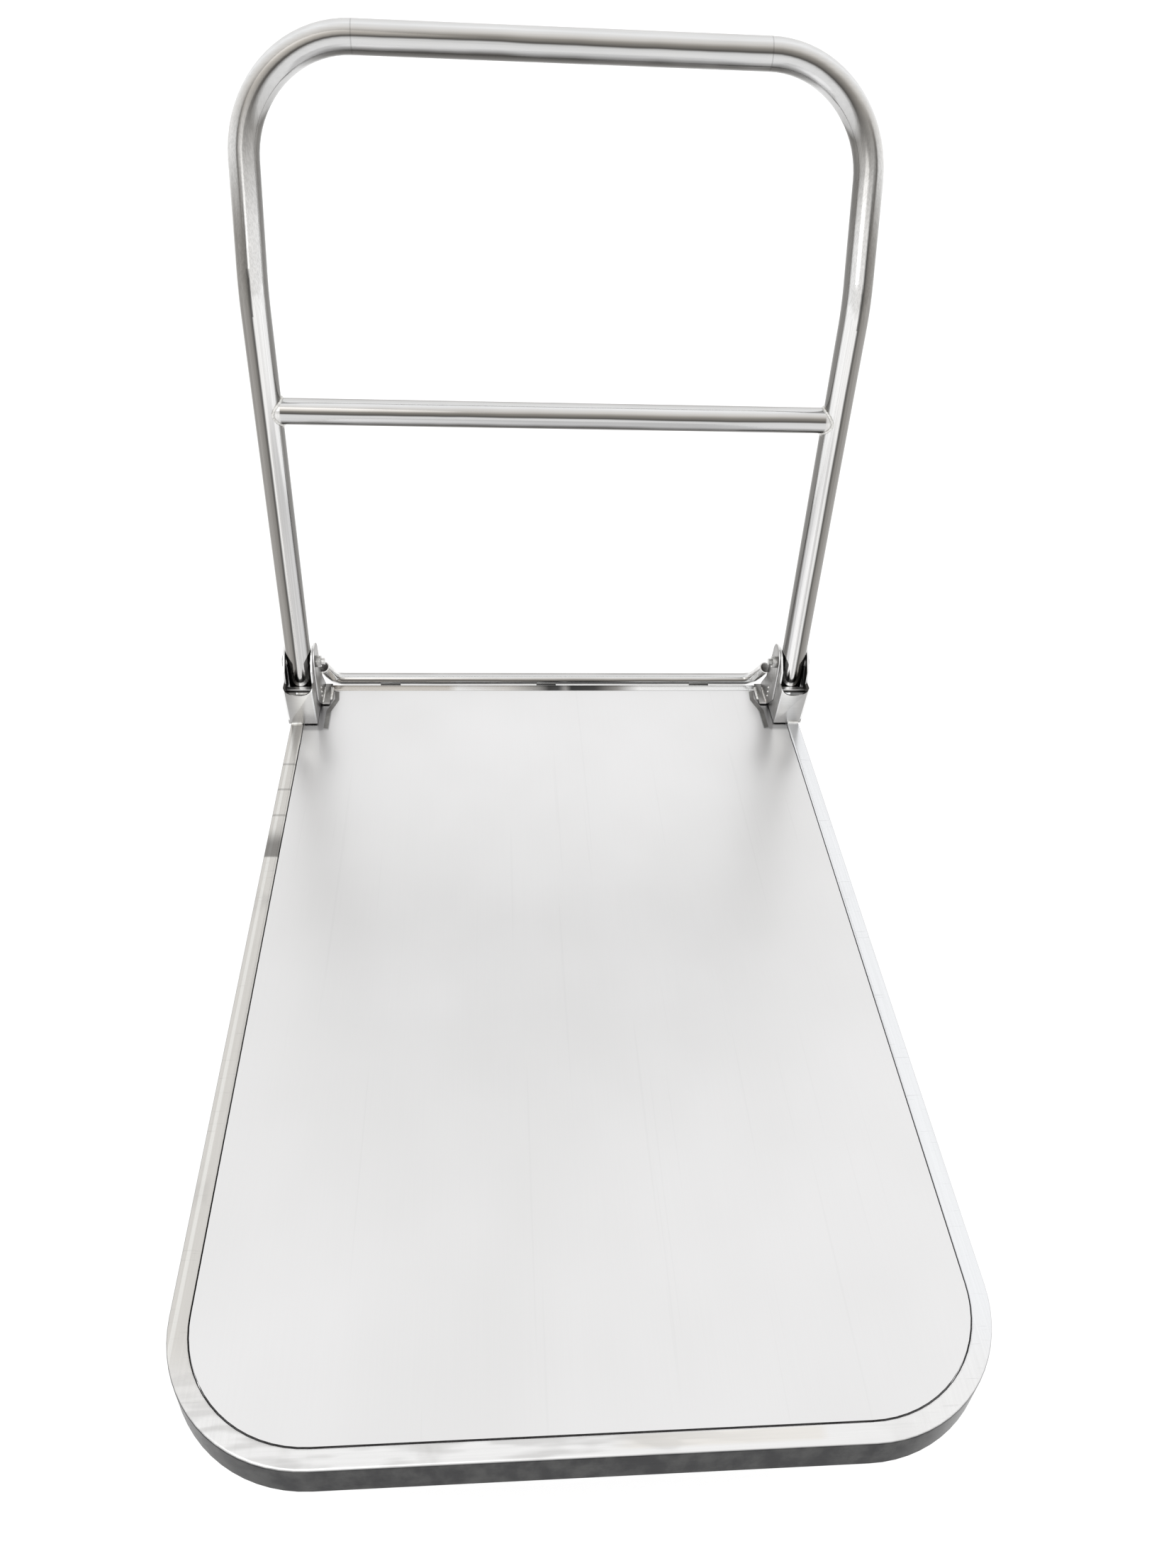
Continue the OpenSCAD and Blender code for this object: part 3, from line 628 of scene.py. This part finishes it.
def bead(bm, start, end, radius, pitch=1.5):
    start, end = Vector(start), Vector(end)
    run = end - start
    count = max(4, round(run.length / (pitch * MM)) * RINGS_PER_RIPPLE)
    turn = run.to_track_quat("Z", "Y").to_matrix().to_4x4()
    made = bmesh.ops.create_cone(
        bm, cap_ends=True, segments=14, radius1=1, radius2=1, depth=1, matrix=Matrix.Identity(4)
    )["verts"]
    geometry = list({g for v in made for g in (v, *v.link_edges, *v.link_faces)})
    for i in range(1, count):
        cut = bmesh.ops.bisect_plane(
            bm, geom=geometry, dist=1e-6, plane_co=(0, 0, i / count - 0.5), plane_no=(0, 0, 1)
        )
        geometry = list(set(geometry) | set(cut["geom"]) | set(cut["geom_cut"]))
        geometry = [g for g in geometry if g.is_valid]
    rings = [g for g in geometry if isinstance(g, bmesh.types.BMVert)]
    for v in rings:
        t = v.co.z + 0.5
        ends = min(1.0, 0.35 + 3.5 * min(t, 1 - t) * run.length / (4 * radius))
        ripple = 1 + 0.1 * math.sin(2 * math.pi * t * count / RINGS_PER_RIPPLE)
        v.co = Vector((v.co.x * radius * ends * ripple, v.co.y * radius * ends * ripple, t * run.length))
    bmesh.ops.transform(bm, matrix=Matrix.Translation(start) @ turn, verts=rings)


# %% [markdown]
# On the frame a short bead lies in front of each bracket, a thick one along the ear plate's foot and a
# thin one where the plate meets the foot. Three weld spots climb the plate's face above it.

# %% Beads at the brackets and the ear plates


def frame_beads():
    bm = bmesh.new()
    low = DECK_Z + 0.4 * MM
    thin, middling, thick = 1.5 * MM, 1.8 * MM, 2.3 * MM
    rail_in, rail_out = 286 * MM, 299.5 * MM
    for s in (-1, 1):
        front = LEG_Y - 22 * MM
        bead(bm, (s * rail_in, front, low), (s * rail_out, front, low), middling)
        foot = s * (LEG_X - 26.8 * MM)
        bead(bm, (foot, LEG_Y + 25 * MM, low), (foot, LEG_Y + 51 * MM, low), thick)
        face = s * (LEG_X - 18.4 * MM)
        near_end = Vector((face, LEG_Y + 18 * MM, low + 1.5 * MM))
        far_end = Vector((face, LEG_Y + 48 * MM, low + 2 * MM))
        bead(bm, near_end, far_end, thin)
        for up in (11, 17, 23):
            spot = Vector((face, LEG_Y + 16 * MM, DECK_Z + up * MM))
            bead(bm, spot, spot + Vector((0, 0.8 * MM, 2.6 * MM)), thin, pitch=1.0)
    return piece(bm, "frame_weld_beads", "cart", "weld_metal", ["frame_welds"], 70)


frame_beads()

# %% [markdown]
# Round the crossbar's ends the bead follows a saddle, where a thin tube meets a thicker one. A small
# circle is spun round the crossbar, and each vertex then slides along it to the leg's own surface.

# %% Saddle beads where the crossbar meets the legs
SADDLE_BEAD_R = 1.6 * MM
SADDLE_R = CROSSBAR_R + 0.2 * MM
SADDLE_RIPPLES = 30


def saddle_beads():
    bm = bmesh.new()
    for s in (-1, 1):
        made = bmesh.ops.create_circle(bm, segments=10, radius=SADDLE_BEAD_R)["verts"]
        place = Matrix.Translation((0, 0, SADDLE_R)) @ Matrix.Rotation(math.pi / 2, 4, "X")
        bmesh.ops.transform(bm, matrix=place, verts=made)
        edges = list({e for v in made for e in v.link_edges})
        before = set(bm.verts) - set(made)
        bmesh.ops.spin(
            bm, geom=made + edges, cent=(0, 0, 0), axis=(1, 0, 0), angle=2 * math.pi, steps=96,
            use_merge=True,
        )
        for v in set(bm.verts) - before:
            angle = math.atan2(v.co.y, v.co.z)
            reach = math.hypot(v.co.y, v.co.z)
            across = min(abs(CROSSBAR_R * math.sin(angle)), TUBE_R)
            swell = 1 + 0.12 * math.sin(SADDLE_RIPPLES * angle)
            reach = SADDLE_R + (reach - SADDLE_R) * swell
            slide = LEG_X - math.sqrt(TUBE_R**2 - across**2) - 0.5 * MM
            x = s * (slide + v.co.x * swell)
            v.co = Vector((x, LEG_Y + reach * math.sin(angle), BAR_Z + reach * math.cos(angle)))
    return piece(bm, "crossbar_saddle_beads", "handle", "weld_metal", ["crossbar_welds"], 60)


saddle_beads()

# %% [markdown]
# Each rear corner of the deck is cut away round its hinge. A thin plate closes the cut-out from below,
# and a narrow sloped strip makes the edge of the sheet look pressed down. Both follow one outline: the
# plate is one face filled between outline and rail, and the strip is a row of edges pulled inwards.

# %% Outline of the cut-outs
CUT_OUT = [(262.9, 812.0), (262.9, 846.0), (255.2, 869.8), (256.6, 886.5)]
RAIL_SIDE = 284.6


def outline_verts(bm, points, side, z):
    return [bm.verts.new((side * x * MM, FRONT_Y + y * MM, z)) for x, y in points]


def moved_in(points, amount):
    return [(x - amount, y) for x, y in points]


print("cut-out outline:", len(CUT_OUT), "corners")

# %% Sloped edges of the deck's cut-outs


def notch_edges():
    bm = bmesh.new()
    for s in (-1, 1):
        made = outline_verts(bm, moved_in(CUT_OUT, 1.2), s, SHEET_Z + 0.12 * MM)
        row = [bm.edges.new(pair) for pair in zip(made, made[1:])]
        pulled = bmesh.ops.extrude_edge_only(bm, edges=row)["geom"]
        moved = [g for g in pulled if isinstance(g, bmesh.types.BMVert)]
        bmesh.ops.translate(bm, vec=(-s * 5.2 * MM, -1.5 * MM, 0.22 * MM), verts=moved)
    bmesh.ops.solidify(bm, geom=bm.faces[:], thickness=0.1 * MM)
    return piece(bm, "deck_notch_edges", "cart", "bracket_steel", (), 30)


notch_edges()

# %% Plates that close the cut-outs
PLATE_DROP = 1.9 * MM
PLATE_THICK = 1 * MM


def closing_plates():
    bm = bmesh.new()
    for s in (-1, 1):
        outline = [(RAIL_SIDE, 783.0), (261.5, 806.0), *moved_in(CUT_OUT[1:], 1.4), (RAIL_SIDE, 887.0)]
        face = bm.faces.new(outline_verts(bm, outline, s, SHEET_Z - PLATE_DROP))
        top = bmesh.ops.extrude_face_region(bm, geom=[face])["geom"]
        moved = [g for g in top if isinstance(g, bmesh.types.BMVert)]
        bmesh.ops.translate(bm, vec=(0, 0, PLATE_THICK), verts=moved)
    return piece(bm, "closing_plates", "cart", "deck_steel", (), 30)


closing_plates()

# %% [markdown]
# A caster tyre has two grooves and a rounded shoulder. Half of its section is a short row of vertices,
# mirrored across the wheel, and the whole row is then spun once round the axle.

# %% Grooved tyres
RIM_R = 50 * MM
GROOVE_DEPTH = 1.6 * MM


def tyre_section(tread, half):
    """(across, radius) from the right side wall over the tread to the left one."""
    shoulder = [(half - 1.2 * MM, tread - 2.6 * MM), (half - 3.6 * MM, tread - 0.6 * MM)]
    side = [(half, RIM_R), (half, tread - 6 * MM), *shoulder]
    floor_r = tread - GROOVE_DEPTH
    groove = [(9.4 * MM, tread), (7.6 * MM, tread), (7.0 * MM, floor_r), (5.4 * MM, floor_r)]
    right = [*side, *groove, (4.8 * MM, tread), (0.0, tread)]
    return right + [(-x, r) for x, r in reversed(right[:-1])]


def grooved_tyre(corner):
    low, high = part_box(corner + "_tyre")
    bm = bmesh.new()
    made = [bm.verts.new((x, 0, r)) for x, r in tyre_section((high.z - low.z) / 2, (high.x - low.x) / 2)]
    row = [bm.edges.new(pair) for pair in zip(made, made[1:] + made[:1])]
    bmesh.ops.spin(
        bm, geom=made + row, cent=(0, 0, 0), axis=(1, 0, 0), angle=2 * math.pi, steps=96, use_merge=True
    )
    bmesh.ops.translate(bm, vec=(low + high) / 2, verts=bm.verts)
    body = nodes[corner + "_tyre"]["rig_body"]
    return piece(bm, "grooved_" + corner + "_tyre", body, "tyre_rubber", [corner + "_tyre"], 40)


for corner in corners:
    grooved_tyre(corner)

# %% [markdown]
# The floor is plain and pale. It gives off a little light of its own, so that the cart's shadow stays
# faint on it. It is only a stage, so it isn't part of the cart.

# %% Floor


def set_sockets(shader, values):
    for name, value in values.items():
        shader.inputs[name].default_value = value


floor_bm = bmesh.new()
bmesh.ops.create_grid(floor_bm, x_segments=1, y_segments=1, size=14)
floor_mesh = bpy.data.meshes.new("floor")
floor_bm.to_mesh(floor_mesh)
floor_bm.free()
floor = placed("floor", floor_mesh)
pale = bpy.data.materials.new("pale_floor")
pale.use_nodes = True
set_sockets(
    pale.node_tree.nodes["Principled BSDF"],
    {
        "Base Color": (0.4, 0.4, 0.4, 1),
        "Roughness": 0.9,
        "Emission Color": (1, 1, 1, 1),
        "Emission Strength": 0.72,
    },
)
floor_mesh.materials.append(pale)
print("floor:", [round(v, 1) for v in floor.dimensions])

# %% [markdown]
# The light is a bright even room with one large soft lamp, so the metal mirrors white almost everywhere
# and the reflections, light and shade painted into its colour do the drawing.

# %% Light
world = bpy.data.worlds.new("bright_room")
bpy.context.scene.world = world
world.use_nodes = True
set_sockets(world.node_tree.nodes["Background"], {"Color": (1.0, 0.995, 0.985, 1), "Strength": 1.0})

lamp_data = bpy.data.lights.new("soft_lamp", "AREA")
lamp_data.energy = 12
lamp_data.shape = "DISK"
lamp_data.size = 2.4
lamp = placed("soft_lamp", lamp_data)
lamp.location = (-1.3, -2.2, 2.5)
lamp.rotation_euler = (Vector((0, 0, 0.3)) - lamp.location).to_track_quat("-Z", "Y").to_euler()
bpy.context.scene.view_settings.view_transform = "Standard"
print("room:", world.name, "and lamp:", lamp.name)

# %% [markdown]
# The camera stands in front of the cart, a little higher than the handle and a little left of the
# middle, and looks down on the deck. Its turns come in order: round, down, and a slight tilt.

# %% Camera
camera_data = bpy.data.cameras.new("camera")
camera_data.sensor_fit = "VERTICAL"
camera_data.sensor_height = 36
camera_data.lens = 28.11
camera = placed("camera", camera_data)
look_down, turn_right, tilt = 0.683, 0.1012, 0.0578
camera.matrix_world = (
    Matrix.Translation((-0.0677, FRONT_Y - 0.34395, DECK_Z + 0.85865))
    @ Matrix.Rotation(-turn_right, 4, "Z")
    @ Matrix.Rotation(math.pi / 2 - look_down, 4, "X")
    @ Matrix.Rotation(tilt, 4, "Z")
)
bpy.context.scene.camera = camera
print("camera at", [round(v, 4) for v in camera.location])

# %% Bring the scene up to date
bpy.context.view_layer.update()
